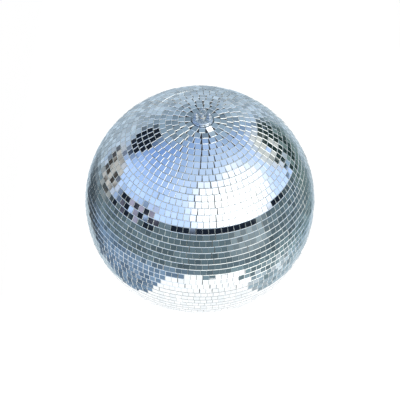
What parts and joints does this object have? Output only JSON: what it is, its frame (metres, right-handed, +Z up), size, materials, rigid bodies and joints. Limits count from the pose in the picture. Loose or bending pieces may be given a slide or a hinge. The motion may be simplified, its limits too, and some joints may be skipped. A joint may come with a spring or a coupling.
{
  "type": "mirror ball",
  "caption": "Hanging mirror ball: a hollow sphere faced with rows of square mirror tiles, spinning on a swivel eye in a round metal cap at its top.",
  "frame": {"origin": "centre of the hanging eye's hole, on the ball's vertical axis", "axes": "+Z up along the axis that the ball spins about; the eye's hole runs along Y; -Y is the side seen in the picture"},
  "size_m": [0.4, 0.4, 0.4241],
  "materials": {
    "mirror_glass": "silvered glass, polished",
    "shell_plastic": "moulded, dark",
    "cap_metal": "polished",
    "zinc_steel": "bright zinc plate",
    "bronze": "sintered",
    "nylon": "natural"
  },
  "bodies": {
    "hanger": {"swivel_eye": "zinc_steel", "eye_washer": "nylon", "thrust_washer": "zinc_steel", "lock_nut": "zinc_steel"},
    "ball": {"upper_mirror_belt_1": "mirror_glass", "upper_mirror_belt_2": "mirror_glass", "upper_mirror_belt_3": "mirror_glass", "upper_mirror_belt_4": "mirror_glass", "upper_mirror_belt_5": "mirror_glass", "upper_mirror_belt_6": "mirror_glass", "upper_mirror_belt_7": "mirror_glass", "upper_mirror_belt_8": "mirror_glass", "upper_mirror_belt_9": "mirror_glass", "lower_mirror_belt_1": "mirror_glass", "lower_mirror_belt_2": "mirror_glass", "lower_mirror_belt_3": "mirror_glass", "lower_mirror_belt_4": "mirror_glass", "lower_mirror_belt_5": "mirror_glass", "lower_mirror_belt_6": "mirror_glass", "lower_mirror_belt_7": "mirror_glass", "lower_mirror_belt_8": "mirror_glass", "lower_mirror_belt_9": "mirror_glass", "bottom_mirror_disc": "mirror_glass", "upper_shell": "shell_plastic", "lower_shell": "shell_plastic", "equator_joint_ring": "shell_plastic", "hanger_cap": "cap_metal", "cap_bolt_left": "zinc_steel", "cap_bolt_right": "zinc_steel", "dome_nut_left": "zinc_steel", "dome_nut_right": "zinc_steel", "backing_plate": "zinc_steel", "swivel_bush": "bronze"}
  },
  "joints": [
    {"name": "ball_spin", "type": "hinge", "parent": "hanger", "child": "ball", "pos_m": [0, 0, 0], "axis": [0, 0, 1], "continuous": true}
  ]
}
